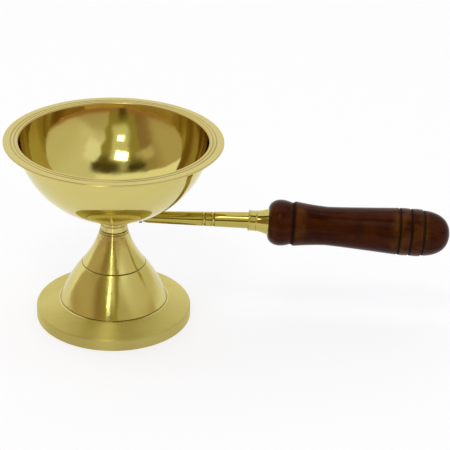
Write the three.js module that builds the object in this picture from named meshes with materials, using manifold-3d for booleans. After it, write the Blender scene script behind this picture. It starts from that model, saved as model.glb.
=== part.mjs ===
// Handled incense burner: a spun brass bowl on a hollow turned pedestal. A steel rod, clamped between
// the two by its flattened eye, carries a turned brass shank, a ferrule and a wooden grip.
// Millimetres, +Z up, handle along +X.
import * as THREE from 'three';
import { mergeVertices } from 'three/addons/utils/BufferGeometryUtils.js';
import Module from 'manifold-3d';

const wasm = await Module();
wasm.setup();

// Fits
const clearance = 0.3;            // between two pieces that seat on or pass through each other
const threadClearance = 0.12;     // between the bolt's thread and its nut

// Incised lines on the turned brass
const lineWidth = 0.7;
const lineDepth = 0.3;

// Bowl
const bowlRadius = 47.7;          // of the ball that its outside follows
const bowlWall = 1.4;
const bowlDepth = 40.4;           // from the seat up to the top of the rim
const bowlSeatRadius = 5.5;       // small flat that the bowl stands on
const rimRadius = 53.0;           // outer edge of the flat rim
const rimThickness = 1.0;
const rimEdgeRound = 0.3;
const mouthLip = 0.5;             // bevel between the rim and the inside
const innerRimLine = 1.4;         // distance of the rim's first line from the lip
const rimLineSpacing = 1.7;

// Pedestal
const pedestalHeight = 53.1;
const pedestalWall = 2.0;
const neckRadius = 6.1;           // at the top of the neck
const collarRadius = 6.9;         // at the neck's lower line
const collarHeight = 5.6;
const neckLean = -0.25;           // radius gained per height where the trumpet leaves the neck
const neckTurn = 0.54;            // share of the trumpet's height before it turns outwards
const waistRadius = 15.85;        // at the line halfway down, where trumpet turns into bell
const waistHeight = 29.3;
const waistLean = -0.8;           // the same two for the bell
const waistTurn = 0.4;
const coneFootRadius = 26.9;      // where the bell meets the foot disc
const coneFootHeight = 9.8;
const footRadius = 38.7;
const footEdgeHeight = 5.4;       // of the foot's upright edge
const footShoulder = 0.6;         // round between the edge and the sloping top
const footRingWidth = 3.2;        // of the ring that it stands on
const footRoofDepth = 2.2;        // thickness of the foot disc
const neckCore = 9.6;             // length of the neck that is solid round the bolt

// Clamping bolt
const boltRadius = 2.5;
const boltHeadRadius = 4.6;
const boltHeadHeight = 2.6;
const boltSlotWidth = 1.1;
const boltSlotDepth = 1.3;
const boltTail = 1.2;             // past the nut
const washerRadius = 5.0;
const washerThickness = 1.0;
const nutAcrossFlats = 8.0;
const nutThickness = 4.0;

// Steel rod through the handle, with its eye, tongue and shoulder
const eyeThickness = 1.4;
const eyeRadius = 6.8;
const tongueWidth = 7.1;
const coreRadius = 1.5;
const coreShoulderRadius = 3.0;   // block that the brass shank bears on, flat on top
const coreShoulderLength = 1.6;
const coreInGrip = 38.0;
const corePoint = 3.0;

// Brass shank that sleeves the rod
const shankStartRadius = 2.9;
const shankEndRadius = 4.1;       // where it enters the ferrule
const shankNoseLength = 2.2;      // tapered inner end that passes under the bowl
const shankNoseTaper = 0.55;
const shankRise = 0.56;           // degrees above level
const shankAxisLift = 0.08;       // of the shank's line above the middle of the eye
const shankRingA = 44.3;          // places of the two turned rings, from the burner's axis
const shankRingB = 48.8;
const shankRingWidth = 1.5;
const shankRingDepth = 0.22;

// Ferrule, by distance from the point where the handle bends
const bendAt = 67.0;              // from the burner's axis
const gripFall = 2.0;             // degrees below level
const ferruleStart = -1.0;
const ferruleSocketDepth = 3.2;
const ferruleCollarRadius = 5.0;
const ferruleCollarLength = 3.6;
const ferruleMouthRadius = 6.9;
const ferruleLength = 11.0;
const ferruleLean = 0.21;         // radius gained per length where the bell leaves the collar
const ferruleTurn = 0.58;         // share of the bell's length before it flares
const ferruleBead = 0.25;         // how far the collar's beads stand proud
const ferruleBeadWidth = 0.9;

// Grip, by distance from its front end
const gripLength = 89.4;
const gripRecess = 1.6;           // depth of the seat for the ferrule's mouth
const beadRadius = 11.35;         // rounded bead at the front
const beadMiddle = 5.95;
const beadHeight = 4.95;
const beadBack = 11.7;            // groove behind the bead
const beadBackRadius = 10.15;
const shoulderAt = 13.35;         // small sharp shoulder behind that groove
const shoulderRadius = 11.0;
const shoulderLean = -0.15;       // radius gained per length behind the shoulder
const waistAt = 28.95;            // slimmest part of the grip
const gripWaistRadius = 9.5;
const gripWaistLean = 0.03;
const gripWaistTurn = 0.22;
const swellAt = 63.4;
const swellRadius = 11.55;
const bandRadius = 11.7;          // fullest part, between the turned grooves
const grooveA = 64.1;
const grooveB = 69.7;
const grooveC = 75.8;
const grooveWidth = 1.2;
const grooveDepth = 0.55;
const domeStart = 77.8;
const domeStartRadius = 11.1;
const domeFall = 0.6;             // how far the outline sinks over the dome's first stretch
const domeFallLength = 5.0;
const domeFullness = 8.2;         // radius at which the outline heads for the very end

// Facets
const bowlSides = 48;
const bowlSteps = 11;
const pedestalSides = 44;
const pedestalSteps = 7;
const hollowSteps = 5;
const gripSides = 28;
const gripSteps = 5;
const domeSteps = 8;
const ferruleSides = 24;
const smallSides = 20;
const smallSteps = 5;

// Heights and places worked out from the sizes above
const eyeBottom = pedestalHeight + clearance;
const eyeTop = eyeBottom + eyeThickness;
const bowlSeat = eyeTop + clearance;
const rimTop = bowlSeat + bowlDepth;
const bowlCentre = bowlSeat + Math.sqrt(bowlRadius ** 2 - bowlSeatRadius ** 2);
const bowlInnerRadius = bowlRadius - bowlWall;
const boltHole = boltRadius + clearance;
const headSeatRadius = boltHeadRadius + 2 * clearance;
const bowlFloor = bowlCentre - Math.sqrt(bowlInnerRadius ** 2 - headSeatRadius ** 2);
const neckSeat = pedestalHeight - neckCore;
const washerTop = neckSeat - clearance;
const nutTop = washerTop - washerThickness - clearance;
const boltEnd = nutTop - nutThickness - boltTail;
const shankSlope = THREE.MathUtils.degToRad(shankRise);
const gripSlope = THREE.MathUtils.degToRad(gripFall);
const shankAxisHeight = (eyeBottom + eyeTop) / 2 + shankAxisLift;
const shankCrown = shankAxisHeight + shankStartRadius + 2 * clearance;
const shankFull = Math.sqrt(bowlRadius ** 2 - (bowlCentre - shankCrown) ** 2);
const shankStart = shankFull - shankNoseLength;
const bendHeight = shankAxisHeight + bendAt * Math.tan(shankSlope);
const ferruleEnd = ferruleStart + ferruleLength;
const gripFront = ferruleEnd + clearance - gripRecess;
const handleReach = bendAt + (gripFront + gripLength) * Math.cos(gripSlope);

const point = (r, h) => new THREE.Vector2(r, h);

// Height on the lower half of a ball round the bowl's centre.
const ballHeight = (radius, r) => bowlCentre - Math.sqrt(radius ** 2 - r ** 2);

// Radius of such a ball at a height.
const ballRadius = (radius, h) => Math.sqrt(radius ** 2 - (bowlCentre - h) ** 2);

// Points of an arc of a ball round the bowl's centre, between two radii, evenly turned.
function ballArc(radius, fromR, toR, steps) {
  const from = Math.asin(fromR / radius);
  const to = Math.asin(toR / radius);
  const arc = [];
  for (let i = 0; i <= steps; i++) {
    const r = radius * Math.sin(from + (to - from) * i / steps);
    arc.push(point(r, ballHeight(radius, r)));
  }
  return arc;
}

// A curve that leaves one point with a lean, radius per height, and turns to the other after a share
// of the way, or halfway.
function bentCurve(from, to, lean, turn = 0.5) {
  const rise = turn * (to.y - from.y);
  return new THREE.QuadraticBezierCurve(from, point(from.x + lean * rise, from.y + rise), to);
}

// An incised line: its two edges on the surface, with the bottom of the cut between them.
function incised(at, along, cut) {
  return [at.clone().sub(along), at.clone().add(cut), at.clone().add(along)];
}

// An incised line at the end of a curve that runs down and out over a piece.
function incisedAtEnd(curve) {
  const heading = curve.getTangent(1);
  const cut = point(heading.y, -heading.x).multiplyScalar(lineDepth);
  return incised(curve.getPoint(1), heading.multiplyScalar(lineWidth / 2), cut);
}

// A turned solid round the vertical axis; the profile closes on itself or ends on the axis.
function turned(profile, sides) {
  return new THREE.LatheGeometry(profile, sides).rotateX(Math.PI / 2);
}

// A turned solid round the handle's axis, whose profile gives radius and distance along +X.
function turnedAlong(profile, sides) {
  return new THREE.LatheGeometry(profile, sides).rotateZ(-Math.PI / 2);
}

// A flat plate from an outline in X and Y, raised to its height.
function plate(outline, bottom, thickness, curveSegments) {
  const flat = new THREE.ExtrudeGeometry(outline, { depth: thickness, bevelEnabled: false, curveSegments });
  return flat.translate(0, 0, bottom);
}

// A closed geometry as a solid that can be joined and cut.
function solid(geometry) {
  const bare = geometry.clone();
  bare.deleteAttribute('normal');
  bare.deleteAttribute('uv');
  const merged = mergeVertices(bare, 1e-5);
  const vertProperties = new Float32Array(merged.attributes.position.array);
  const triVerts = new Uint32Array(merged.index.array);
  return new wasm.Manifold(new wasm.Mesh({ numProp: 3, vertProperties, triVerts }));
}

// A joined or cut solid as a geometry again.
function geometryOf(body) {
  const mesh = body.getMesh();
  const geometry = new THREE.BufferGeometry();
  geometry.setAttribute('position', new THREE.BufferAttribute(mesh.vertProperties, 3));
  geometry.setIndex(new THREE.BufferAttribute(mesh.triVerts, 1));
  geometry.computeVertexNormals();
  return geometry;
}

function bowlGeometry() {
  const flangeUnder = rimTop - rimThickness;
  const mouthRadius = ballRadius(bowlInnerRadius, rimTop - mouthLip);
  const lipRadius = mouthRadius + mouthLip;
  const rimLine = (r) => incised(point(r, rimTop), point(-lineWidth / 2, 0), point(0, -lineDepth));
  const profile = [
    point(boltHole, bowlSeat),
    ...ballArc(bowlRadius, bowlSeatRadius, ballRadius(bowlRadius, flangeUnder), bowlSteps),
    point(rimRadius - rimEdgeRound, flangeUnder),
    point(rimRadius, flangeUnder + rimEdgeRound),
    point(rimRadius, rimTop - rimEdgeRound),
    point(rimRadius - rimEdgeRound, rimTop),
    ...rimLine(lipRadius + innerRimLine + rimLineSpacing),
    ...rimLine(lipRadius + innerRimLine),
    point(lipRadius, rimTop),
    ...ballArc(bowlInnerRadius, headSeatRadius, mouthRadius, bowlSteps).reverse(),
    point(boltHole, bowlFloor),
    point(boltHole, bowlSeat),
  ];
  return turned(profile, bowlSides);
}

// The pedestal's trumpet, from the neck's lower line down to the waist, and its bell, from there down
// to the foot disc.
const collarFoot = point(collarRadius, pedestalHeight - collarHeight);
const waist = point(waistRadius, waistHeight);
const trumpet = bentCurve(collarFoot, waist, neckLean, neckTurn);
const bell = bentCurve(waist, point(coneFootRadius, coneFootHeight), waistLean, waistTurn);

// A curve's points pushed one wall's thickness into the hollow, and kept clear of the washer.
function innerWall(curve) {
  return curve.getPoints(hollowSteps).map((onCurve, i) => {
    const heading = curve.getTangent(i / hollowSteps);
    const inner = onCurve.add(point(heading.y, -heading.x).multiplyScalar(pedestalWall));
    return point(Math.max(inner.x, washerRadius + 2 * clearance), inner.y);
  });
}

function pedestalGeometry() {
  const collar = new THREE.LineCurve(point(neckRadius, pedestalHeight), collarFoot);
  const footRim = point(footRadius - footShoulder, footEdgeHeight + footShoulder);
  const foot = new THREE.LineCurve(bell.getPoint(1), footRim);
  const footHeading = foot.getTangent(0);
  const ringInner = footRadius - footRingWidth;
  const wholeWall = [...innerWall(trumpet), ...innerWall(bell).slice(1)];
  const hollow = wholeWall.filter((p) => p.y < neckSeat - clearance);
  const profile = [
    point(boltHole, pedestalHeight),
    point(neckRadius, pedestalHeight),
    ...incisedAtEnd(collar),
    ...trumpet.getPoints(pedestalSteps).slice(1, -1),
    ...incisedAtEnd(trumpet),
    ...bell.getPoints(pedestalSteps).slice(1, -1),
    ...incisedAtEnd(bell),
    footRim,
    point(footRadius, footEdgeHeight),
    point(footRadius, 0),
    point(ringInner, 0),
    point(ringInner, footEdgeHeight - footRoofDepth),
    foot.getPoint(0).add(point(footHeading.y, -footHeading.x).multiplyScalar(footRoofDepth)),
    ...hollow.toReversed(),
    point(hollow[0].x, neckSeat),
    point(boltHole, neckSeat),
    point(boltHole, pedestalHeight),
  ];
  return turned(profile.reverse(), pedestalSides);
}

// Round-headed bolt from inside the bowl down through eye and neck, with a driver slot.
function boltGeometry() {
  const seat = bowlFloor + clearance;
  const headTop = seat + boltHeadHeight;
  const crown = new THREE.EllipseCurve(0, seat, boltHeadRadius, boltHeadHeight, 0, Math.PI / 2);
  const profile = [
    point(0, boltEnd),
    point(boltRadius, boltEnd),
    point(boltRadius, seat),
    ...crown.getPoints(smallSteps).slice(0, -1),
    point(0, headTop),
  ];
  const slot = new THREE.BoxGeometry(3 * boltHeadRadius, boltSlotWidth, 2 * boltSlotDepth);
  slot.translate(0, 0, headTop);
  return geometryOf(solid(turned(profile, smallSides)).subtract(solid(slot)));
}

// A ring or nut: an outline with the bolt's hole through it.
function holedPlate(outline, hole, bottom, thickness) {
  outline.holes.push(new THREE.Path().absarc(0, 0, hole, 0, 2 * Math.PI, true));
  return plate(outline, bottom, thickness, smallSides / 2);
}

function washerGeometry() {
  const outline = new THREE.Shape().absarc(0, 0, washerRadius, 0, 2 * Math.PI, false);
  return holedPlate(outline, boltHole, washerTop - washerThickness, washerThickness);
}

function nutGeometry() {
  const corner = nutAcrossFlats / 2 / Math.cos(Math.PI / 6);
  const middle = point(0, 0);
  const corners = Array.from({ length: 6 }, (_, i) => point(corner, 0).rotateAround(middle, i * Math.PI / 3));
  const outline = new THREE.Shape(corners);
  return holedPlate(outline, boltRadius + threadClearance, nutTop - nutThickness, nutThickness);
}

// Lays a piece that was turned along +X on the shank's own line, which rises from the burner's axis.
function onShankLine(geometry) {
  return geometry.rotateY(-shankSlope).translate(0, 0, shankAxisHeight);
}

// Lays it on the grip's line, which falls away from the bend.
function onGripLine(geometry) {
  return geometry.rotateY(gripSlope).translate(bendAt, 0, bendHeight);
}

// Steel rod: an eye and tongue hammered flat, a shoulder for the shank to bear on, and a round rod
// that bends once inside the ferrule and ends in a screw point in the wood.
function coreGeometry() {
  const half = tongueWidth / 2;
  const shoulderEnd = shankStart - clearance;
  const shoulderStart = shoulderEnd - coreShoulderLength;
  const rodEnd = gripFront + gripRecess + coreInGrip;
  const tongueOutline = [
    point(boltHole + clearance, -half),
    point(shoulderStart, -half),
    point(shoulderEnd, -coreShoulderRadius),
    point(shoulderEnd, coreShoulderRadius),
    point(shoulderStart, half),
    point(boltHole + clearance, half),
  ];
  const shoulder = [
    point(0, shoulderStart),
    point(coreShoulderRadius, shoulderStart),
    point(coreShoulderRadius, shoulderEnd),
    point(0, shoulderEnd),
  ];
  const innerRod = [
    point(0, shoulderStart + clearance),
    point(coreRadius, shoulderStart + clearance),
    point(coreRadius, bendAt),
    point(0, bendAt + coreRadius / 2),
  ];
  const outerRod = [
    point(0, -coreRadius / 2),
    point(coreRadius, 0),
    point(coreRadius, rodEnd - corePoint),
    point(0, rodEnd),
  ];
  const eye = new THREE.Shape().absarc(0, 0, eyeRadius, 0, 2 * Math.PI, false);
  const hole = new THREE.CylinderGeometry(boltHole, boltHole, 4 * eyeThickness, smallSides);
  const width = 4 * coreShoulderRadius;
  const aboveTongue = new THREE.BoxGeometry(width, width, width);
  aboveTongue.translate(shoulderStart, 0, eyeTop + width / 2);
  const block = solid(onShankLine(turnedAlong(shoulder, smallSides))).subtract(solid(aboveTongue));
  const flat = solid(plate(eye, eyeBottom, eyeThickness, smallSides / 2))
    .add(solid(plate(new THREE.Shape(tongueOutline), eyeBottom, eyeThickness, 1)))
    .subtract(solid(hole.rotateX(Math.PI / 2).translate(0, 0, eyeBottom)));
  const rod = solid(onShankLine(turnedAlong(innerRod, smallSides)))
    .add(solid(onGripLine(turnedAlong(outerRod, smallSides))));
  return geometryOf(flat.add(block).add(rod));
}

// Hollow brass shank that swells gently from the burner to the ferrule, with two turned rings.
function shankGeometry() {
  const bore = coreRadius + clearance;
  const end = bendAt + ferruleStart + ferruleSocketDepth - clearance;
  const swell = (shankEndRadius - shankStartRadius) / (bendAt - shankFull);
  const along = (s) => point(shankStartRadius + swell * (s - shankFull), s);
  const ring = (s) => incised(along(s), point(0, shankRingWidth / 2), point(-shankRingDepth, 0));
  const profile = [
    point(bore, shankStart),
    point(shankStartRadius - shankNoseTaper, shankStart),
    along(shankFull),
    ...ring(shankRingA),
    ...ring(shankRingB),
    along(end),
    point(bore, end),
    point(bore, shankStart),
  ];
  return onShankLine(turnedAlong(profile, smallSides));
}

// Turned ferrule: socket for the shank, beaded collar, and a bell that flares to the grip.
function ferruleGeometry() {
  const socketRadius = shankEndRadius + clearance;
  const coreHole = coreRadius + clearance;
  const collarEnd = ferruleStart + ferruleCollarLength;
  const beadTop = ferruleCollarRadius + ferruleBead;
  const bellStart = point(ferruleCollarRadius, collarEnd + ferruleBeadWidth);
  const flare = bentCurve(bellStart, point(ferruleMouthRadius, ferruleEnd), ferruleLean, ferruleTurn);
  const bead = (h) => [
    point(ferruleCollarRadius, h),
    point(beadTop, h + ferruleBeadWidth / 3),
    point(beadTop, h + 2 * ferruleBeadWidth / 3),
    point(ferruleCollarRadius, h + ferruleBeadWidth),
  ];
  const profile = [
    point(socketRadius, ferruleStart),
    ...bead(ferruleStart),
    ...bead(collarEnd),
    ...flare.getPoints(smallSteps).slice(1),
    point(coreHole, ferruleEnd),
    point(coreHole, ferruleStart + ferruleSocketDepth),
    point(socketRadius, ferruleStart + ferruleSocketDepth),
    point(socketRadius, ferruleStart),
  ];
  return onGripLine(turnedAlong(profile, ferruleSides));
}

// The front half of the grip's front bead: a part of an ellipse from the ferrule's seat to the crown.
function frontBead() {
  const seatRadius = ferruleMouthRadius + clearance;
  const start = Math.asin((seatRadius - beadRadius + beadHeight) / beadHeight);
  return Array.from({ length: gripSteps + 2 }, (_, i) => {
    const turn = THREE.MathUtils.mapLinear(i, 0, gripSteps + 1, start, Math.PI / 2);
    return point(beadRadius - beadHeight * (1 - Math.sin(turn)), beadMiddle * (1 - Math.cos(turn)));
  });
}

// The grip's outline from its front bead to the domed end, as radius and distance from the front.
function gripOutline() {
  const bead = point(beadRadius, beadMiddle);
  const shoulder = point(shoulderRadius, shoulderAt);
  const slimmest = point(gripWaistRadius, waistAt);
  const beadFall = bentCurve(bead, point(beadBackRadius, beadBack), 0);
  const toWaist = bentCurve(shoulder, slimmest, shoulderLean);
  const toSwell = bentCurve(slimmest, point(swellRadius, swellAt), gripWaistLean, gripWaistTurn);
  const dome = new THREE.CubicBezierCurve(
    point(domeStartRadius, domeStart),
    point(domeStartRadius - domeFall, domeStart + domeFallLength),
    point(domeFullness, gripLength),
    point(0, gripLength),
  );
  const halfGroove = point(0, grooveWidth / 2);
  const groove = (at) => incised(point(swellRadius, at), halfGroove, point(-grooveDepth, 0));
  return [
    ...frontBead(),
    ...beadFall.getPoints(smallSteps).slice(1),
    ...toWaist.getPoints(gripSteps),
    ...toSwell.getPoints(gripSteps).slice(1, -1),
    ...groove(grooveA),
    point(bandRadius, (grooveA + grooveB) / 2),
    ...groove(grooveB),
    point(bandRadius, (grooveB + grooveC) / 2),
    point(swellRadius, grooveC - grooveWidth),
    point(domeStartRadius, grooveC),
    ...dome.getPoints(domeSteps),
  ];
}

function gripGeometry() {
  const bore = coreRadius + clearance;
  const boreEnd = gripRecess + coreInGrip + clearance;
  const seatRadius = ferruleMouthRadius + clearance;
  const profile = [
    point(0, boreEnd),
    point(bore, boreEnd - corePoint),
    point(bore, gripRecess),
    point(seatRadius, gripRecess),
    ...gripOutline(),
  ];
  return onGripLine(turnedAlong(profile, gripSides).translate(gripFront, 0, 0));
}

const brass = { color: '#c9b45f', metalness: 1 };
const finishes = {
  spunBrass: new THREE.MeshStandardMaterial({ ...brass, roughness: 0.18 }),
  turnedBrass: new THREE.MeshStandardMaterial({ ...brass, roughness: 0.26 }),
  rodBrass: new THREE.MeshStandardMaterial({ ...brass, roughness: 0.24 }),
  boltBrass: new THREE.MeshStandardMaterial({ ...brass, roughness: 0.35 }),
  lacqueredWood: new THREE.MeshStandardMaterial({ color: '#4a2412', roughness: 0.3, metalness: 0 }),
  blackenedSteel: new THREE.MeshStandardMaterial({ color: '#2b2622', roughness: 0.5, metalness: 1 }),
  steel: new THREE.MeshStandardMaterial({ color: '#9a9a98', roughness: 0.4, metalness: 1 }),
};

function named(name, geometry, material) {
  const mesh = new THREE.Mesh(geometry, material);
  mesh.name = name;
  return mesh;
}

// The origin is on the floor, under the middle of the whole length.
const incenseBurner = new THREE.Group();
incenseBurner.position.x = (rimRadius - handleReach) / 2;
incenseBurner.add(
  named('pedestal', pedestalGeometry(), finishes.turnedBrass),
  named('bowl', bowlGeometry(), finishes.spunBrass),
  named('bowl_bolt', boltGeometry(), finishes.boltBrass),
  named('bolt_washer', washerGeometry(), finishes.steel),
  named('bolt_nut', nutGeometry(), finishes.steel),
  named('core_rod', coreGeometry(), finishes.blackenedSteel),
  named('brass_shank', shankGeometry(), finishes.rodBrass),
  named('ferrule', ferruleGeometry(), finishes.rodBrass),
  named('wooden_grip', gripGeometry(), finishes.lacqueredWood),
);

export default incenseBurner;
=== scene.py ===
"""The looks of a handled incense burner: a spun brass bowl on a turned pedestal, with a steel
rod, a turned brass shank, a ferrule and a lacquered wooden grip.

Metres, +Z up, handle along +X. Sizes are named in millimetres.
"""

import math
from collections import namedtuple

import bpy
from mathutils import Matrix, Vector


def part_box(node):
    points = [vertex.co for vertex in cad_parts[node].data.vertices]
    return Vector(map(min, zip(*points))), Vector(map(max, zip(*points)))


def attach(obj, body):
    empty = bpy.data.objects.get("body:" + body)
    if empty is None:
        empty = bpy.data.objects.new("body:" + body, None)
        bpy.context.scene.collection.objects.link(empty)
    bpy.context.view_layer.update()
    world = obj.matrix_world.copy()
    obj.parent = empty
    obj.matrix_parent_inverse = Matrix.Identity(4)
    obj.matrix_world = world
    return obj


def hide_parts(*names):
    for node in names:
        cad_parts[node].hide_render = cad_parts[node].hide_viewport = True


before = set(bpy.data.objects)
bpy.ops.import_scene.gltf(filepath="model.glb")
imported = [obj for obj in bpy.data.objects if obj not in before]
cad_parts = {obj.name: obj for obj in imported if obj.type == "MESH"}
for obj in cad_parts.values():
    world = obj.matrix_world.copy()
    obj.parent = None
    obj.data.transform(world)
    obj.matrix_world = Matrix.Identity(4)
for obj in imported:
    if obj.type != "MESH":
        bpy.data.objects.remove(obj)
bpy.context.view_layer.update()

MM = 0.001
TURN = 2 * math.pi

# Places taken from the frame, in millimetres
bowl_low, bowl_high = (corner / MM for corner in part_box("bowl"))
pedestal_low, pedestal_high = (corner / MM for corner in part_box("pedestal"))
washer_low, washer_high = (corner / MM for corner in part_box("bolt_washer"))
nut_low, nut_high = (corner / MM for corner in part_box("bolt_nut"))
bolt_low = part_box("bowl_bolt")[0] / MM
AXIS_X = (bowl_low.x + bowl_high.x) / 2
RIM_TOP = bowl_high.z
RIM_RADIUS = (bowl_high.x - bowl_low.x) / 2
BOWL_SEAT = bowl_low.z
NECK_TOP = pedestal_high.z
FOOT_RADIUS = (pedestal_high.x - pedestal_low.x) / 2

# Fits, how far the outermost faces stay inside the frame, and what counts as one point
GAP = 0.3
INSET = 0.03
MERGED = 0.002

# Incised lines, and the side of an outline that they are cut on
LINE_WIDTH = 0.7
LINE_DEPTH = 0.3
LINE_EDGE = 0.12
RIGHT, LEFT = 1, -1

# Arcs at corners: the most that one takes of the side beside it, and how many reaches away a
# point holds that side straight
ARC_SHARE = 0.4
ARC_HOLD = 1.2
ARC_STEPS = 4

# Sides round the turned pieces, and the angle, in degrees, above which an edge stays crisp
BODY_SIDES = 256
HANDLE_SIDES = 128
BOLT_SIDES = 64
ROD_SIDES = 48
CHAMFER_SIDES = 96
CREASE = 40
ROD_CREASE = 35
FLAT_CREASE = 30

# Bowl
BOWL_RADIUS = 47.7
BOWL_WALL = 1.4
BOWL_SEAT_RADIUS = 5.5
RIM_THICKNESS = 1.0
MOUTH_LIP = 0.5
RIM_LINES = (3.1, 1.4)
RIM_EDGE = 0.4
RIM_ROOT = 0.8
LIP_EDGE = 0.3
BOLT_HOLE_EDGE = 0.2
BOWL_STEPS = 64

# Pedestal
PEDESTAL_WALL = 2.0
NECK_RADIUS = 6.1
COLLAR_RADIUS = 6.9
COLLAR_HEIGHT = 5.6
NECK_LEAN, NECK_TURN = -0.25, 0.54
WAIST_RADIUS = 15.85
WAIST_HEIGHT = 29.3
WAIST_LEAN, WAIST_TURN = -0.8, 0.4
CONE_FOOT_RADIUS = 26.9
CONE_FOOT_HEIGHT = 9.8
FOOT_EDGE_HEIGHT = 5.4
FOOT_SHOULDER = 0.6
FOOT_RING_WIDTH = 3.2
FOOT_ROOF_DEPTH = 2.2
NECK_CORE = 9.6
NECK_EDGE = 0.3
FOOT_EDGE = 0.4
RING_EDGE = 0.35
RING_INNER_EDGE = 0.5
RING_FILLET = 1.2
ROOF_FILLET = 1.0
PEDESTAL_STEPS = 36

# Bolt, washer and nut
BOLT_RADIUS = 2.5
BOLT_HEAD_RADIUS = 4.6
BOLT_HEAD_HEIGHT = 2.6
BOLT_SLOT_WIDTH = 1.1
BOLT_SLOT_DEPTH = 1.3
BOLT_HEAD_EDGE = 0.2
BOLT_HEAD_STEPS = 16
BOLT_BEVEL, BOLT_BEVEL_STEPS, BOLT_SHARP = 0.1, 2, TURN / 7
WASHER_RADIUS = 5.0
WASHER_CUT_EDGE, WASHER_PRESSED_EDGE, WASHER_HOLE_EDGE = 0.12, 0.4, 0.3
NUT_FLATS = 8.0
NUT_CUT_PAST = 0.01
THREAD_GAP = 0.12
THREAD_PITCH = 0.8
THREAD_DEPTH = 0.35
THREAD_TURNS = 8

# Steel rod
EYE_THICKNESS = 1.4
EYE_RADIUS = 6.8
EYE_FILLET = math.radians(13)
EYE_STEPS = 60
TONGUE_WIDTH = 7.1
THROAT_EDGE = 1.4
TONGUE_END_EDGE = 0.6
CORE_RADIUS = 1.5
CORE_SHOULDER_RADIUS = 3.0
CORE_SHOULDER_LENGTH = 1.6
CORE_SHOULDER_EDGE = 0.4
CORE_IN_GRIP = 38.0
CORE_POINT = 3.0
ROD_BEVEL, ROD_BEVEL_STEPS, ROD_SHARP = 0.22, 3, TURN / 8

# Brass shank
SHANK_START_RADIUS = 2.9
SHANK_END_RADIUS = 4.1
SHANK_NOSE_LENGTH = 2.2
SHANK_NOSE_TAPER = 0.55
SHANK_RISE = math.radians(0.56)
SHANK_AXIS_LIFT = 0.08
SHANK_RINGS = (44.3, 48.8)
SHANK_RING_WIDTH = 1.5
SHANK_RING_DEPTH = 0.22
SHANK_RING_EDGE = 0.3
SHANK_NOSE_EDGE, SHANK_FULL_EDGE, SHANK_END_EDGE = 0.3, 0.8, 0.2

# Ferrule, by distance from the bend
BEND_AT = 67.0
GRIP_FALL = math.radians(2.0)
FERRULE_START = -1.0
FERRULE_SOCKET_DEPTH = 3.2
FERRULE_COLLAR_RADIUS = 5.0
FERRULE_COLLAR_LENGTH = 3.6
FERRULE_MOUTH_RADIUS = 6.9
FERRULE_LENGTH = 11.0
FERRULE_LEAN, FERRULE_TURN = 0.21, 0.58
FERRULE_BEAD = 0.25
FERRULE_BEAD_WIDTH = 0.9
FERRULE_MOUTH_EDGE = 0.25
FERRULE_BEAD_STEPS = 8
FERRULE_STEPS = 24

# Grip, by distance from its front end
GRIP_LENGTH = 89.4
GRIP_RECESS = 1.6
BEAD_RADIUS = 11.35
BEAD_MIDDLE = 5.95
BEAD_HEIGHT = 4.95
BEAD_BACK = 11.7
BEAD_BACK_RADIUS = 10.15
SHOULDER_AT = 13.35
SHOULDER_RADIUS = 11.0
SHOULDER_LEAN = -0.15
SLIMMEST_AT = 28.95
SLIMMEST_RADIUS = 9.5
SLIMMEST_LEAN, SLIMMEST_TURN = 0.03, 0.22
SWELL_AT = 63.4
SWELL_RADIUS = 11.55
BAND_RADIUS = 11.7
GROOVES = (64.1, 69.7, 75.8)
GROOVE_WIDTH = 1.2
GROOVE_DEPTH = 0.55
GROOVE_EDGE = 0.25
DOME_START = 77.8
DOME_START_RADIUS = 11.1
DOME_FALL = 0.6
DOME_FALL_LENGTH = 5.0
DOME_FULLNESS = 8.2
SEAT_EDGE = 0.15
BEAD_CREASE_EDGE = 0.5
SHOULDER_EDGE = 0.25
BAND_EDGE = 1.5
BEAD_STEPS, FALL_STEPS, SWELL_STEPS, DOME_STEPS = 20, 16, 24, 32

# Heights and places worked out from the sizes above
EYE_BOTTOM = NECK_TOP + GAP
EYE_TOP = EYE_BOTTOM + EYE_THICKNESS
BOWL_CENTRE = BOWL_SEAT + math.sqrt(BOWL_RADIUS ** 2 - BOWL_SEAT_RADIUS ** 2)
INNER_RADIUS = BOWL_RADIUS - BOWL_WALL
RIM_UNDER = RIM_TOP - RIM_THICKNESS
RIM_ROOT_RADIUS = math.sqrt(BOWL_RADIUS ** 2 - (BOWL_CENTRE - RIM_UNDER) ** 2)
MOUTH_RADIUS = math.sqrt(INNER_RADIUS ** 2 - (BOWL_CENTRE - (RIM_TOP - MOUTH_LIP)) ** 2)
LIP_RADIUS = MOUTH_RADIUS + MOUTH_LIP
BOLT_HOLE = BOLT_RADIUS + GAP
HEAD_SEAT_RADIUS = BOLT_HEAD_RADIUS + 2 * GAP
BOWL_FLOOR = BOWL_CENTRE - math.sqrt(INNER_RADIUS ** 2 - HEAD_SEAT_RADIUS ** 2)
NECK_SEAT = NECK_TOP - NECK_CORE
COLLAR_BOTTOM = NECK_TOP - COLLAR_HEIGHT
SHANK_AXIS_HEIGHT = (EYE_BOTTOM + EYE_TOP) / 2 + SHANK_AXIS_LIFT
SHANK_CROWN = SHANK_AXIS_HEIGHT + SHANK_START_RADIUS + 2 * GAP
SHANK_FULL = math.sqrt(BOWL_RADIUS ** 2 - (BOWL_CENTRE - SHANK_CROWN) ** 2)
SHANK_START = SHANK_FULL - SHANK_NOSE_LENGTH
BLOCK_END = SHANK_START - GAP
BLOCK_START = BLOCK_END - CORE_SHOULDER_LENGTH
CORE_BORE = CORE_RADIUS + GAP
BEND_HEIGHT = SHANK_AXIS_HEIGHT + BEND_AT * math.tan(SHANK_RISE)
FERRULE_SOCKET_END = FERRULE_START + FERRULE_SOCKET_DEPTH
FERRULE_END = FERRULE_START + FERRULE_LENGTH
GRIP_SEAT_RADIUS = FERRULE_MOUTH_RADIUS + GAP
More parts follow.
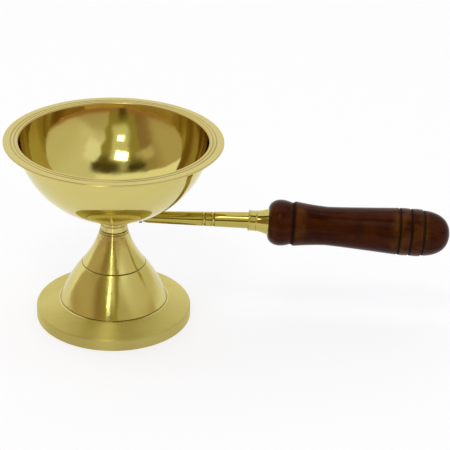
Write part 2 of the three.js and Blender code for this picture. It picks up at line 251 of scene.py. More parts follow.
GRIP_FRONT = FERRULE_END + GAP - GRIP_RECESS

# Camera, in millimetres and degrees
CAMERA_PLACE = (5.18, -660.1, 382.4)
CAMERA_TURN = 0.56
CAMERA_TILT = 63.39
CAMERA_ROLL = 2.18
CAMERA_LENS = 120
CAMERA_SENSOR = 36


def place_camera():
    """A long lens at the photograph's height and angle."""
    bpy.ops.object.camera_add()
    camera = bpy.context.object
    camera.name = "studio_camera"
    turn = Matrix.Rotation(math.radians(CAMERA_TURN), 4, "Z")
    tilt = Matrix.Rotation(math.radians(CAMERA_TILT), 4, "X")
    roll = Matrix.Rotation(math.radians(CAMERA_ROLL), 4, "Z")
    camera.matrix_world = Matrix.Translation(Vector(CAMERA_PLACE) * MM) @ turn @ tilt @ roll
    camera.data.sensor_width = CAMERA_SENSOR
    camera.data.lens = CAMERA_LENS
    bpy.context.scene.camera = camera


place_camera()


# Outlines: points of radius and distance along a line, in millimetres

def even_shares(low, high, steps):
    """Evenly spaced numbers from low to high."""
    return [low + (high - low) * i / steps for i in range(steps + 1)]


def ball_arc(radius, from_r, to_r):
    """Points, between two radii, of a ball round the bowl's centre, evenly turned."""
    turns = even_shares(math.asin(from_r / radius), math.asin(to_r / radius), BOWL_STEPS)
    return [(radius * math.sin(turn), BOWL_CENTRE - radius * math.cos(turn)) for turn in turns]


def bezier(points, steps):
    """Points of a quadratic or cubic curve through its first and last control points."""
    drawn = []
    for share in even_shares(0, 1, steps):
        level = [Vector(point) for point in points]
        while len(level) > 1:
            level = [a.lerp(b, share) for a, b in zip(level, level[1:])]
        drawn.append(tuple(level[0]))
    return drawn


def bent(start, end, lean, steps, turn=0.5):
    """A curve that leaves start with a lean, radius per height, and turns to end after a share."""
    rise = turn * (end[1] - start[1])
    return bezier([start, (start[0] + lean * rise, start[1] + rise), end], steps)


def softened(corners):
    """The outline with an arc at each corner that carries a third number, the arc's reach."""
    drawn = []
    for i, corner in enumerate(corners):
        here = Vector(corner[:2])
        if len(corner) < 3 or i in (0, len(corners) - 1):
            drawn.append(tuple(here))
            continue
        before = Vector(corners[i - 1][:2]) - here
        after = Vector(corners[i + 1][:2]) - here
        reach = min(corner[2], ARC_SHARE * before.length, ARC_SHARE * after.length)
        hold = ARC_HOLD * reach
        start, end = before.normalized(), after.normalized()
        drawn.append(tuple(here + start * hold))
        drawn += bezier([here + start * reach, here, here + end * reach], ARC_STEPS)
        drawn.append(tuple(here + end * hold))
    return drawn


def incised(before, place, side=RIGHT, width=LINE_WIDTH, depth=LINE_DEPTH, edge=LINE_EDGE):
    """Corners of a line cut at a place, on one side of the way that comes from a point before."""
    place = Vector(place)
    heading = (place - Vector(before)).normalized()
    inward = Vector((heading.y, -heading.x)) * side
    near, far = place - heading * width / 2, place + heading * width / 2
    bottom = place + inward * depth
    return [(*near, edge), (*bottom, edge), (*far, edge)]


# Lines that pieces are turned round

class Line:
    """A line to turn pieces round: its start, its direction and the side that outlines lie on."""

    def __init__(self, start, along, side):
        self.start, self.along, self.side = Vector(start), Vector(along), Vector(side)

    def at(self, point):
        """The place, in metres, of an outline's point."""
        return (self.start + self.side * point[0] + self.along * point[1]) * MM


def rising_line(x, height, rise):
    """A line along the handle that rises by an angle."""
    across, up = math.cos(rise), math.sin(rise)
    return Line((x, 0, height), (across, 0, up), (-up, 0, across))


UPRIGHT = Line((AXIS_X, 0, 0), (0, 0, 1), (1, 0, 0))
SHANK_LINE = rising_line(AXIS_X, SHANK_AXIS_HEIGHT, SHANK_RISE)
GRIP_LINE = rising_line(AXIS_X + BEND_AT, BEND_HEIGHT, -GRIP_FALL)


# Modelling steps

def only(piece):
    """Leaves that piece alone selected and active."""
    bpy.ops.object.select_all(action="DESELECT")
    piece.select_set(True)
    bpy.context.view_layer.objects.active = piece


def started(name):
    """Names the piece that was just added and puts its place into its mesh."""
    piece = bpy.context.object
    piece.name = name
    piece.data.name = name
    bpy.ops.object.transform_apply(location=True, rotation=True, scale=True)
    return piece


def drawn_outline(name, places):
    """A run of edges through places, extruded from one point to the next."""
    bpy.ops.object.select_all(action="DESELECT")
    bpy.ops.mesh.primitive_plane_add(size=MM, location=places[0])
    piece = started(name)
    bpy.ops.object.mode_set(mode="EDIT")
    bpy.ops.mesh.select_mode(type="VERT")
    bpy.ops.mesh.select_all(action="SELECT")
    bpy.ops.mesh.merge(type="CENTER")
    for here, there in zip(places, places[1:]):
        bpy.ops.mesh.extrude_vertices_move(TRANSFORM_OT_translate={"value": there - here})
    bpy.ops.mesh.select_all(action="SELECT")
    return piece


def closed_up(crease):
    """Merges doubles, turns the faces outwards and smooths what is flatter than the crease."""
    bpy.ops.mesh.select_all(action="SELECT")
    bpy.ops.mesh.remove_doubles(threshold=MERGED * MM)
    bpy.ops.mesh.normals_make_consistent(inside=False)
    bpy.ops.object.mode_set(mode="OBJECT")
    bpy.ops.object.shade_smooth_by_angle(angle=math.radians(crease))


def mended(piece, crease):
    """Closes a piece up again after cuts and bevels."""
    only(piece)
    bpy.ops.object.mode_set(mode="EDIT")
    closed_up(crease)
    return piece


def turned(name, outline, line, sides):
    """A solid of an outline spun once round a line."""
    piece = drawn_outline(name, [line.at(point) for point in outline])
    centre = line.start * MM
    bpy.ops.mesh.spin(steps=sides, angle=TURN, center=centre, axis=line.along, use_auto_merge=True)
    closed_up(CREASE)
    return piece


def applied(piece, kind, **settings):
    """Puts a modifier on a piece and applies it."""
    only(piece)
    modifier = piece.modifiers.new(kind.title(), kind)
    for name, value in settings.items():
        setattr(modifier, name, value)
    bpy.ops.object.modifier_apply(modifier=modifier.name)


def bevelled(piece, width, steps, sharp):
    """Breaks the edges that turn by more than an angle."""
    limit = {"limit_method": "ANGLE", "angle_limit": sharp}
    applied(piece, "BEVEL", width=width * MM, segments=steps, **limit)


def combined(piece, operation, tool):
    """Cuts a piece by a tool's shape, or joins them, and throws the tool away."""
    applied(piece, "BOOLEAN", operation=operation, object=tool, solver="EXACT")
    bpy.data.objects.remove(tool)


def flat_plate(name, places, thickness):
    """A plate of an outline drawn at its underside, which is filled and pulled up."""
    piece = drawn_outline(name, [*places, places[0]])
    bpy.ops.mesh.remove_doubles(threshold=MERGED * MM)
    bpy.ops.mesh.edge_face_add()
    bpy.ops.mesh.extrude_region_move(TRANSFORM_OT_translate={"value": (0, 0, thickness)})
    closed_up(FLAT_CREASE)
    return piece


def upright_block(name, radius, low, high, sides, turn=0):
    """A prism on the burner's axis between two heights."""
    bpy.ops.object.select_all(action="DESELECT")
    bpy.ops.mesh.primitive_cylinder_add(
        vertices=sides,
        radius=radius * MM,
        depth=(high - low) * MM,
        location=UPRIGHT.at((0, (low + high) / 2)),
        rotation=(0, 0, turn),
    )
    return started(name)


def marked(piece, name, test):
    """Gives each face a number, 1 where the test holds for its middle in millimetres and normal."""
    mark = piece.data.attributes.new(name, "FLOAT", "FACE")
    for face in piece.data.polygons:
        mark.data[face.index].value = float(test(face.center / MM, face.normal))


# Pieces

def make_bowl():
    """Spun bowl: part of a ball with a flat rim, two lines on the rim and a bevelled lip."""
    outside = ball_arc(BOWL_RADIUS, BOWL_SEAT_RADIUS, RIM_ROOT_RADIUS)
    inside = ball_arc(INNER_RADIUS, HEAD_SEAT_RADIUS, MOUTH_RADIUS)[::-1]
    outer_edge = (RIM_RADIUS - INSET, RIM_TOP)
    lines = [incised(outer_edge, (LIP_RADIUS + d, RIM_TOP), LEFT) for d in RIM_LINES]
    corners = [
        (BOLT_HOLE, BOWL_SEAT),
        (*outside[0], RIM_EDGE),
        *outside[1:-1],
        (*outside[-1], RIM_ROOT),
        (RIM_RADIUS - INSET, RIM_UNDER, RIM_EDGE),
        (*outer_edge, RIM_EDGE),
        *[corner for line in lines for corner in line],
        (LIP_RADIUS, RIM_TOP, LIP_EDGE),
        (*inside[0], LIP_EDGE),
        *inside[1:-1],
        (*inside[-1], LIP_EDGE),
        (BOLT_HOLE, BOWL_FLOOR, BOLT_HOLE_EDGE),
        (BOLT_HOLE, BOWL_SEAT),
    ]
    return turned("spun_bowl", softened(corners), UPRIGHT, BODY_SIDES)


def wall_inside(curve):
    """A curve pushed a wall's thickness into the hollow, and kept clear of the washer."""
    pushed = []
    for before, after in zip(curve, curve[1:]):
        heading = (Vector(after) - Vector(before)).normalized()
        place = Vector(before) + Vector((heading.y, -heading.x)) * PEDESTAL_WALL
        pushed.append((max(place.x, WASHER_RADIUS + 2 * GAP), place.y))
    return pushed


def foot_inside(foot_top, cone_foot):
    """Corners of the foot's ring and of the roof inside it, a depth under the foot's slope."""
    slope = (Vector(foot_top) - Vector(cone_foot)).normalized()
    roof = Vector(cone_foot) + Vector((slope.y, -slope.x)) * FOOT_ROOF_DEPTH
    ring_inner = FOOT_RADIUS - FOOT_RING_WIDTH
    return [
        (ring_inner, 0, RING_INNER_EDGE),
        (ring_inner, FOOT_EDGE_HEIGHT - FOOT_ROOF_DEPTH, RING_FILLET),
        (*roof, ROOF_FILLET),
    ]


def make_pedestal():
    """Hollow turned pedestal: neck, trumpet, bell and foot disc, with a line at each change."""
    collar = (COLLAR_RADIUS, COLLAR_BOTTOM)
    waist = (WAIST_RADIUS, WAIST_HEIGHT)
    cone_foot = (CONE_FOOT_RADIUS, CONE_FOOT_HEIGHT)
    trumpet = bent(collar, waist, NECK_LEAN, PEDESTAL_STEPS, NECK_TURN)
    bell = bent(waist, cone_foot, WAIST_LEAN, PEDESTAL_STEPS, WAIST_TURN)
    walls = wall_inside(trumpet) + wall_inside(bell)
    hollow = [point for point in walls if point[1] < NECK_SEAT - GAP][::-1]
    foot_top = (FOOT_RADIUS - FOOT_SHOULDER, FOOT_EDGE_HEIGHT + FOOT_SHOULDER)
    corners = [
        (BOLT_HOLE, NECK_TOP),
        (NECK_RADIUS, NECK_TOP, NECK_EDGE),
        *incised((NECK_RADIUS, NECK_TOP), collar),
        *trumpet[2:-2],
        *incised(trumpet[-2], waist),
        *bell[2:-2],
        *incised(bell[-2], cone_foot),
        (*foot_top, FOOT_EDGE),
        (FOOT_RADIUS, FOOT_EDGE_HEIGHT, FOOT_EDGE),
        (FOOT_RADIUS, 0, RING_EDGE),
        *foot_inside(foot_top, cone_foot),
        *hollow,
        (hollow[-1][0], NECK_SEAT, NECK_EDGE),
        (BOLT_HOLE, NECK_SEAT),
        (BOLT_HOLE, NECK_TOP),
    ]
    piece = turned("turned_pedestal", softened(corners), UPRIGHT, BODY_SIDES)
    marked(piece, "hollow", looks_inside)
    return piece


# How outwards or upwards a face of the hollow looks at most, and how high the foot's ring counts
HOLLOW_OUTWARDS, HOLLOW_UPWARDS = -0.1, -0.7
RING_UNDERSIDE = 1.0


def looks_inside(middle, normal):
    """True for a face of the pedestal's hollow side, which looks at the axis or down."""
    outwards = Vector((middle.x - AXIS_X, middle.y, 0)).normalized()
    down = normal.z < HOLLOW_UPWARDS and middle.z > RING_UNDERSIDE
    return normal.dot(outwards) < HOLLOW_OUTWARDS or down


def thread_points(radius, end, turns):
    """Points of a thread's crests and roots up from its end."""
    crests = [(radius, end + (i + 0.5) * THREAD_PITCH) for i in range(turns)]
    return [step for r, h in crests for step in ((r, h), (r - THREAD_DEPTH, h + THREAD_PITCH / 2))]


def make_bolt():
    """Round-headed bolt with a driver slot and a threaded tail."""
    tail, seat = bolt_low.z, BOWL_FLOOR + GAP
    crown = [
        (BOLT_HEAD_RADIUS * math.cos(turn), seat + BOLT_HEAD_HEIGHT * math.sin(turn))
        for turn in even_shares(0, TURN / 4, BOLT_HEAD_STEPS)
    ]
    corners = [
        (0, tail),
        (BOLT_RADIUS - THREAD_DEPTH, tail),
        *thread_points(BOLT_RADIUS, tail, THREAD_TURNS),
        (BOLT_RADIUS, tail + (THREAD_TURNS + 0.5) * THREAD_PITCH),
        (BOLT_RADIUS, seat),
        (*crown[0], BOLT_HEAD_EDGE),
        *crown[1:-1],
        (0, seat + BOLT_HEAD_HEIGHT),
    ]
    piece = turned("slotted_bolt", softened(corners), UPRIGHT, BOLT_SIDES)
    bpy.ops.object.select_all(action="DESELECT")
    slot_place = UPRIGHT.at((0, seat + BOLT_HEAD_HEIGHT))
    slot_size = Vector((3 * BOLT_HEAD_RADIUS, BOLT_SLOT_WIDTH, 2 * BOLT_SLOT_DEPTH)) * MM
    bpy.ops.mesh.primitive_cube_add(size=1, location=slot_place, scale=slot_size)
    combined(piece, "DIFFERENCE", started("slot_cutter"))
    bevelled(piece, BOLT_BEVEL, BOLT_BEVEL_STEPS, BOLT_SHARP)
    return mended(piece, CREASE)


def make_washer():
    """Stamped washer: rounded above, sharper below."""
    corners = [
        (BOLT_HOLE, washer_low.z),
        (WASHER_RADIUS, washer_low.z, WASHER_CUT_EDGE),
        (WASHER_RADIUS, washer_high.z, WASHER_PRESSED_EDGE),
        (BOLT_HOLE, washer_high.z, WASHER_HOLE_EDGE),
        (BOLT_HOLE, washer_low.z),
    ]
    return turned("flat_washer", softened(corners), UPRIGHT, BOLT_SIDES)


def nut_tool(end_radius, past, radius, fall):
    """Outline of a block that reaches past the nut, with ends that change radius over a fall."""
    low, high = nut_low.z, nut_high.z
    return [
        (0, low - past),
        (end_radius, low - past),
        (radius, low + fall),
        (radius, high - fall),
        (end_radius, high + past),
        (0, high + past),
    ]


def make_nut():
    """Hexagon nut: chamfered corners and a countersunk threaded hole."""
    flat_radius = NUT_FLATS / 2
    corner_radius = flat_radius / math.cos(TURN / 12)
    piece = upright_block("hex_nut", corner_radius, nut_low.z, nut_high.z, 6, TURN / 12)
    outer = corner_radius + GAP
    fall = (outer - flat_radius) * math.tan(TURN / 12)
    chamfer = nut_tool(flat_radius, NUT_CUT_PAST, outer, fall)
    combined(piece, "INTERSECT", turned("nut_chamfer", chamfer, UPRIGHT, CHAMFER_SIDES))
    hole = BOLT_RADIUS + THREAD_GAP
    tapped = nut_tool(hole + 2 * GAP, GAP, hole, GAP)
    combined(piece, "DIFFERENCE", turned("nut_hole", tapped, UPRIGHT, BOLT_SIDES))
    return mended(piece, FLAT_CREASE)


def eye_outline():
    """Eye and tongue from above: a disc that runs with two fillets into a straight bar."""
    half = TONGUE_WIDTH / 2
    leave = math.asin(half / EYE_RADIUS)
    turns = even_shares(leave + EYE_FILLET, TURN - leave - EYE_FILLET, EYE_STEPS)
    throat = EYE_RADIUS * math.cos(leave)
    corners = [
        (BLOCK_END, -CORE_SHOULDER_RADIUS),
        (BLOCK_END, CORE_SHOULDER_RADIUS),
        (BLOCK_START, half, TONGUE_END_EDGE),
        (throat, half, THROAT_EDGE),
        *[(EYE_RADIUS * math.cos(turn), EYE_RADIUS * math.sin(turn)) for turn in turns],
        (throat, -half, THROAT_EDGE),
        (BLOCK_START, -half, TONGUE_END_EDGE),
        (BLOCK_END, -CORE_SHOULDER_RADIUS),
    ]
    return [Vector((AXIS_X + x, y, EYE_BOTTOM)) * MM for x, y in softened(corners)[:-1]]


def make_rod():
    """Forged steel rod: flat eye and tongue, a shoulder flat on top, and a rod that bends once."""
    piece = flat_plate("forged_rod", eye_outline(), EYE_THICKNESS * MM)
    below, above = EYE_BOTTOM - EYE_THICKNESS, EYE_TOP + EYE_THICKNESS
    combined(piece, "DIFFERENCE", upright_block("eye_hole", BOLT_HOLE, below, above, BOLT_SIDES))
    bevelled(piece, ROD_BEVEL, ROD_BEVEL_STEPS, ROD_SHARP)
    combined(piece, "UNION", shoulder_block())
    inner = [
        (0, BLOCK_START + GAP),
        (CORE_RADIUS, BLOCK_START + GAP),
        (CORE_RADIUS, BEND_AT),
        (0, BEND_AT + CORE_RADIUS / 2),
    ]
    rod_end = GRIP_FRONT + GRIP_RECESS + CORE_IN_GRIP
    outer = [
        (0, -CORE_RADIUS / 2),
        (CORE_RADIUS, 0),
        (CORE_RADIUS, rod_end - CORE_POINT),
        (0, rod_end),
    ]
    combined(piece, "UNION", turned("inner_rod", inner, SHANK_LINE, ROD_SIDES))
    combined(piece, "UNION", turned("outer_rod", outer, GRIP_LINE, ROD_SIDES))
    return mended(piece, ROD_CREASE)


def shoulder_block():
    """Round block that the shank bears on, cut off level with the tongue's top."""
    radius, edge = CORE_SHOULDER_RADIUS, CORE_SHOULDER_EDGE
    start, end = (radius, BLOCK_START, edge), (radius, BLOCK_END, edge)
    corners = [(0, BLOCK_START), start, end, (0, BLOCK_END)]
    piece = turned("shoulder_block", softened(corners), SHANK_LINE, BOLT_SIDES)
    bpy.ops.object.mode_set(mode="EDIT")
    bpy.ops.mesh.select_all(action="SELECT")
    level = UPRIGHT.at((0, EYE_TOP - GAP / 3))
    bpy.ops.mesh.bisect(plane_co=level, plane_no=(0, 0, 1), use_fill=True, clear_outer=True)
    bpy.ops.object.mode_set(mode="OBJECT")
    return piece


def make_shank():
    """Hollow brass shank that swells gently to the ferrule, with two turned rings."""
    end = BEND_AT + FERRULE_SOCKET_END - GAP
    swell = (SHANK_END_RADIUS - SHANK_START_RADIUS) / (BEND_AT - SHANK_FULL)
    nose = SHANK_START_RADIUS - SHANK_NOSE_TAPER

    def radius_at(along):
        return SHANK_START_RADIUS + swell * (along - SHANK_FULL)

    rings = []
    for at in SHANK_RINGS:
        before, place = (radius_at(at - 1), at - 1), (radius_at(at), at)
        rings += incised(before, place, LEFT, SHANK_RING_WIDTH, SHANK_RING_DEPTH, SHANK_RING_EDGE)
    corners = [
        (CORE_BORE, SHANK_START),
        (nose, SHANK_START, SHANK_NOSE_EDGE),
        (SHANK_START_RADIUS, SHANK_FULL, SHANK_FULL_EDGE),
        *rings,
        (radius_at(end), end, SHANK_END_EDGE),
        (CORE_BORE, end),
        (CORE_BORE, SHANK_START),
    ]
    return turned("turned_shank", softened(corners), SHANK_LINE, HANDLE_SIDES)


def bead_points(start):
    """A small half-round bead on the ferrule's collar."""
    middle = (FERRULE_COLLAR_RADIUS + 2 * FERRULE_BEAD, start + FERRULE_BEAD_WIDTH / 2)
    end = (FERRULE_COLLAR_RADIUS, start + FERRULE_BEAD_WIDTH)
    return bezier([(FERRULE_COLLAR_RADIUS, start), middle, end], FERRULE_BEAD_STEPS)


def make_ferrule():
    """Turned ferrule: socket for the shank, a collar between two beads, and a flaring bell."""
    socket = SHANK_END_RADIUS + GAP
    collar_end = FERRULE_START + FERRULE_COLLAR_LENGTH
    bell_start = (FERRULE_COLLAR_RADIUS, collar_end + FERRULE_BEAD_WIDTH)
    mouth = (FERRULE_MOUTH_RADIUS, FERRULE_END)
    bell = bent(bell_start, mouth, FERRULE_LEAN, FERRULE_STEPS, FERRULE_TURN)
    corners = [
        (socket, FERRULE_START),
        *bead_points(FERRULE_START),
        *bead_points(collar_end),
        *bell[1:-1],
        (*mouth, FERRULE_MOUTH_EDGE),
        (CORE_BORE, FERRULE_END),
        (CORE_BORE, FERRULE_SOCKET_END),
        (socket, FERRULE_SOCKET_END),
        (socket, FERRULE_START),
    ]
    return turned("turned_ferrule", softened(corners), GRIP_LINE, HANDLE_SIDES)


def front_bead():
    """Front half of the grip's bead: part of an ellipse from the ferrule's seat to its crown."""
    start = math.asin((GRIP_SEAT_RADIUS - BEAD_RADIUS + BEAD_HEIGHT) / BEAD_HEIGHT)
    turns = even_shares(start, TURN / 4, BEAD_STEPS)
    return [
        (BEAD_RADIUS - BEAD_HEIGHT * (1 - math.sin(turn)), BEAD_MIDDLE * (1 - math.cos(turn)))
        for turn in turns
    ]


def grip_groove(at, before, after):
    """A turned groove in the grip between two radii, drawn from its front to its back edge."""
    half = GROOVE_WIDTH / 2
    return [
        (before, at - half, GROOVE_EDGE),
        ((before + after) / 2 - GROOVE_DEPTH, at, GROOVE_EDGE),
        (after, at + half, GROOVE_EDGE),
    ]


def grip_outline():
    """The grip from its front bead over shoulder, waist and grooves to the domed end."""
    shoulder = (SHOULDER_RADIUS, SHOULDER_AT)
    slimmest = (SLIMMEST_RADIUS, SLIMMEST_AT)
    swell = (SWELL_RADIUS, SWELL_AT)
    first, second, third = GROOVES
    fall = bent((BEAD_RADIUS, BEAD_MIDDLE), (BEAD_BACK_RADIUS, BEAD_BACK), 0, FALL_STEPS)
    to_slimmest = bent(shoulder, slimmest, SHOULDER_LEAN, FALL_STEPS)
    to_swell = bent(slimmest, swell, SLIMMEST_LEAN, SWELL_STEPS, SLIMMEST_TURN)
    dome = bezier([
        (DOME_START_RADIUS, DOME_START),
        (DOME_START_RADIUS - DOME_FALL, DOME_START + DOME_FALL_LENGTH),
        (DOME_FULLNESS, GRIP_LENGTH - INSET),
        (0, GRIP_LENGTH - INSET),
    ], DOME_STEPS)
    return [
        *front_bead()[1:],
        *fall[1:-1],
        (*fall[-1], BEAD_CREASE_EDGE),
        (*shoulder, SHOULDER_EDGE),
        *to_slimmest[1:],
        *to_swell[1:-1],
        *grip_groove(first, SWELL_RADIUS, SWELL_RADIUS),
        (BAND_RADIUS, (first + second) / 2, BAND_EDGE),
        *grip_groove(second, SWELL_RADIUS, SWELL_RADIUS),
        (BAND_RADIUS, (second + third) / 2, BAND_EDGE),
        *grip_groove(third, SWELL_RADIUS, DOME_START_RADIUS),
        *dome,
    ]


def make_grip():
    """Turned wooden grip with a seat for the ferrule and a hole for the rod."""
    bore_end = GRIP_RECESS + CORE_IN_GRIP + GAP
    corners = [
        (0, bore_end),
        (CORE_BORE, bore_end - CORE_POINT),
        (CORE_BORE, GRIP_RECESS),
        (GRIP_SEAT_RADIUS, GRIP_RECESS),
        (*front_bead()[0], SEAT_EDGE),
        *grip_outline(),
    ]
    outline = [(r, along + GRIP_FRONT) for r, along in softened(corners)]
    return turned("turned_grip", outline, GRIP_LINE, HANDLE_SIDES)


# Finishes

def srgb(red, green, blue):
    """A picture's colour, 0 to 255, as the renderer's own."""
    shares = [value / 255 for value in (red, green, blue)]
    return (*[s / 12.92 if s < 0.04045 else ((s + 0.055) / 1.055) ** 2.4 for s in shares], 1)


class Wire:
    """One output of a node. Arithmetic on it adds Math nodes."""

    def __init__(self, sheet, output):
        self.sheet, self.output = sheet, output

    def __add__(self, other):
        return self.sheet.math("ADD", self, other)

    def __sub__(self, other):
        return self.sheet.math("SUBTRACT", self, other)

    def __mul__(self, other):
        return self.sheet.math("MULTIPLY", self, other)

    def __truediv__(self, other):
        return self.sheet.math("DIVIDE", self, other)

    def __rsub__(self, other):
        return self.sheet.math("SUBTRACT", other, self)

    __radd__ = __add__
    __rmul__ = __mul__

    def other(self, name):
        """Another output of the same node."""
        return Wire(self.sheet, self.output.node.outputs[name])

    def eased(self, low, high):
        """0 below low, 1 above high, and a soft step between."""
        settings = {"interpolation_type": "SMOOTHSTEP"}
        inputs = {"Value": self, "From Min": low, "From Max": high}
        return self.sheet.add("ShaderNodeMapRange", settings, inputs)

    def between(self, low, high, soft):
        """1 between low and high, with edges that are soft wide."""
        half = soft / 2
        return self.eased(low - half, low + half) * (1 - self.eased(high - half, high + half))


class Sheet:
    """The nodes of one material or of the world."""

    def __init__(self, owner):
        owner.use_nodes = True
        self.owner, self.tree = owner, owner.node_tree
        self.tree.nodes.clear()

    def add(self, kind, settings, inputs, output=0):
        """Adds a node with its settings and the values or links of its sockets; gives an output."""
        node = self.tree.nodes.new(kind)
        for name, value in settings.items():
            setattr(node, name, value)
        for name, value in inputs.items():
            if isinstance(value, Wire):
                self.tree.links.new(value.output, node.inputs[name])
            else:
                node.inputs[name].default_value = value
        return Wire(self, node.outputs[output]) if node.outputs else None

    def math(self, operation, *values):
        """A Math node."""
        return self.add("ShaderNodeMath", {"operation": operation}, dict(enumerate(values)))

    def vector(self, operation, *values, output=0):
        """A Vector Math node."""
        settings = {"operation": operation}
        return self.add("ShaderNodeVectorMath", settings, dict(enumerate(values)), output)

    def blend(self, factor, first, second):
        """One colour over another by a factor, through the Mix node's colour sockets."""
        inputs = {0: factor, 6: first, 7: second}
        return self.add("ShaderNodeMix", {"data_type": "RGBA"}, inputs, 2)

    def noise(self, place, scale, detail=3.0, dimensions="3D"):
        """Noise about 0.5 at a place, whose grains are 1 / scale millimetres wide."""
        settings = {"noise_dimensions": dimensions}
        inputs = {"Vector": place, "Scale": scale, "Detail": detail}
        return self.add("ShaderNodeTexNoise", settings, inputs)

    def place(self):
        """A point of the piece in millimetres."""
        coordinates = self.add("ShaderNodeTexCoord", {}, {}).other("Object")
        inputs = {0: coordinates, "Scale": 1 / MM}
        return self.add("ShaderNodeVectorMath", {"operation": "SCALE"}, inputs)

    def turned_place(self, place, line):
        """A point's radius and distance along the line that its piece was turned round."""
        offset = self.vector("SUBTRACT", place, tuple(line.start))
        along = self.vector("DOT_PRODUCT", offset, tuple(line.along), output="Value")
        foot = self.add("ShaderNodeCombineXYZ", {}, dict(enumerate(along * a for a in line.along)))
        radius = self.vector("LENGTH", self.vector("SUBTRACT", offset, foot), output="Value")
        return radius, along

    def bump(self, height, distance, under=None):
        """A normal raised by a height of 0 to 1, a distance in millimetres."""
        inputs = {"Height": height, "Distance": distance * MM}
        if under:
            inputs["Normal"] = under
        return self.add("ShaderNodeBump", {}, inputs)

    def finish(self, **inputs):
        """The surface's shader, on the material's output; gives the material."""
        named = {name.replace("_", " "): value for name, value in inputs.items()}
        shader = self.add("ShaderNodeBsdfPrincipled", {}, named)
        self.add("ShaderNodeOutputMaterial", {}, {"Surface": shader})
        return self.owner


def new_sheet(name):
    """The sheet of a new material."""
    return Sheet(bpy.data.materials.new(name))


# Colours of brass, steel and wood
BRASS = (0.64, 0.555, 0.185, 1)
BRASS_DULL = (0.53, 0.44, 0.14, 1)
# paler brass for the foot's top: brushing streaks with painted light
BRASS_PALE_LIT = (0.74, 0.65, 0.21, 1)
# painted warm reflection, for a band inside the bowl under the rim
BRASS_WARM_REFLECTION = (0.50, 0.33, 0.12, 1)
# painted dark reflection on the shank and ferrule
BRASS_DARK_REFLECTION = (0.40, 0.32, 0.06, 1)
CAST_BRASS = (0.34, 0.25, 0.08, 1)
TARNISH = (0.30, 0.17, 0.05, 1)
# dirt in cut lines; on the pedestal also a painted shadow under the bowl
GRIME_AND_SHADOW = (0.08, 0.05, 0.015, 1)
STEEL = (0.42, 0.42, 0.41, 1)
STEEL_DULL = (0.3, 0.3, 0.29, 1)
SCALE_BLACK = (0.006, 0.005, 0.004, 1)
SCALE_GREY = (0.02, 0.016, 0.012, 1)
WOOD_DARK = srgb(47, 14, 3)
WOOD_RED = srgb(70, 29, 6)
WOOD_OCHRE = srgb(90, 52, 17)
WOOD_BURNT = srgb(30, 6, 1)

# Roughness of clean and of handled metal, and the patches that it changes in
BOWL_SHINE = (0.06, 0.12)
PEDESTAL_SHINE = (0.15, 0.21)
HANDLE_SHINE = (0.06, 0.1)
BOLT_SHINE = (0.22, 0.36)
PATCH_GRAIN, PATCH_RANGE = 0.05, (0.42, 0.72)

# Dents, and layers of the lathe's rings: grains per millimetre, and height in millimetres
BOWL_DENTS = (0.06, 0.12)
PEDESTAL_DENTS = (0.3, 0.05)
BOWL_MARKS = ((0.25, 0.008), (4.0, 0.0012))
PEDESTAL_MARKS = ((0.5, 0.012), (4.0, 0.002))
HANDLE_MARKS = ((0.4, 0.004), (5.0, 0.0004))
BOLT_MARKS = ((5.0, 0.004),)
GRIP_MARKS = ((0.5, 0.02),)

# Rough grain and wood fibres: grains per millimetre, and height in millimetres
CAST_GRAIN, CAST_GRAIN_HEIGHT = 1.2, 0.2
STEEL_GRAIN, STEEL_GRAIN_HEIGHT = 1.5, 0.02
SCALE_GRAIN, SCALE_GRAIN_HEIGHT = 0.7, 0.08
FIBRE_GRAIN, FIBRE_GRAIN_HEIGHT = 3.0, 0.008

# Clouds and streaks in the colours: grains per millimetre
BRASS_CLOUDS, HANDLE_CLOUDS, BOLT_CLOUDS = 0.12, 0.2, 0.5
NECK_CLOUDS, FOOT_STREAKS = 0.35, 0.5
WOOD_CLOUDS, WOOD_STREAKS = 0.16, 0.4

# Half the width that dirt covers in and beside cut lines
RIM_DIRT = 0.35
PEDESTAL_DIRT = 0.24
FAINT_DIRT = 0.3
SHANK_DIRT = 0.16
GRIP_DIRT = 0.75

# Bowl: where in the wall its inside begins, and the band of painted warm reflection inside, by
# distance below the rim's top
WALL_MIDST = 0.3
WARM_REFLECTION_FROM, WARM_REFLECTION_FULL = 12, 2

# Pedestal: faint lines and a painted shadow under the bowl, by distance below the neck's top,
# tarnish below the collar, and the edges of the satin foot
FAINT_LINES = (1.2, 2.6)
NECK_SHADOW_FROM, NECK_SHADOW_FULL = 1.2, 0.6
TARNISH_REACH = 5.0
SATIN_EDGE, FOOT_TOP_EDGE = 1.0, 0.2
FOOT_STRETCH = (0.2, 0.9, 0.9)

# Shank: how strong its painted dark reflection is, and the spans in which that thins out, by
# distance from the axis
DARK_REFLECTION = 0.75
DARK_REFLECTION_THINS = (25, 60)
DARK_REFLECTION_ENDS = (63, 70)

# Grip, by distance from its front end: from, to and softness of paler and of dark spans
WORN_SHOULDER = (SHOULDER_AT, SHOULDER_AT + 5, 3)
WORN_SWELL = (60, DOME_START, 4)
WORN_FRONT = (-2, 4, 3)
BEAD_SHADE = (BEAD_BACK - 0.4, SHOULDER_AT - 0.2, 0.8)
FIBRE_STRETCH = (0.09, 1, 1)


def smudged(sheet, place, low, high):
    """Roughness between a clean and a handled one, in soft patches."""
    patches = sheet.noise(place, PATCH_GRAIN).eased(*PATCH_RANGE)
    return patches * (high - low) + low


def soiled(distance, places, half):
    """1 where dirt has stayed in the lines cut at some places."""
    marks = [distance.between(at - half, at + half, half) for at in places]
    return sum(marks[1:], marks[0])


def dented(sheet, place, grain, height):
    """A normal with shallow dents."""
    return sheet.bump(sheet.noise(place, grain, 2.0), height)


def lathe_marks(sheet, radius, along, layers, under=None):
    """A normal with layers of rings round the turned piece, over the normal under them."""
    for grain, height in layers:
        spread = sheet.add("ShaderNodeCombineXYZ", {}, {0: radius, 1: along})
        under = sheet.bump(sheet.noise(spread, grain, 2.0, "2D"), height, under)
    return under


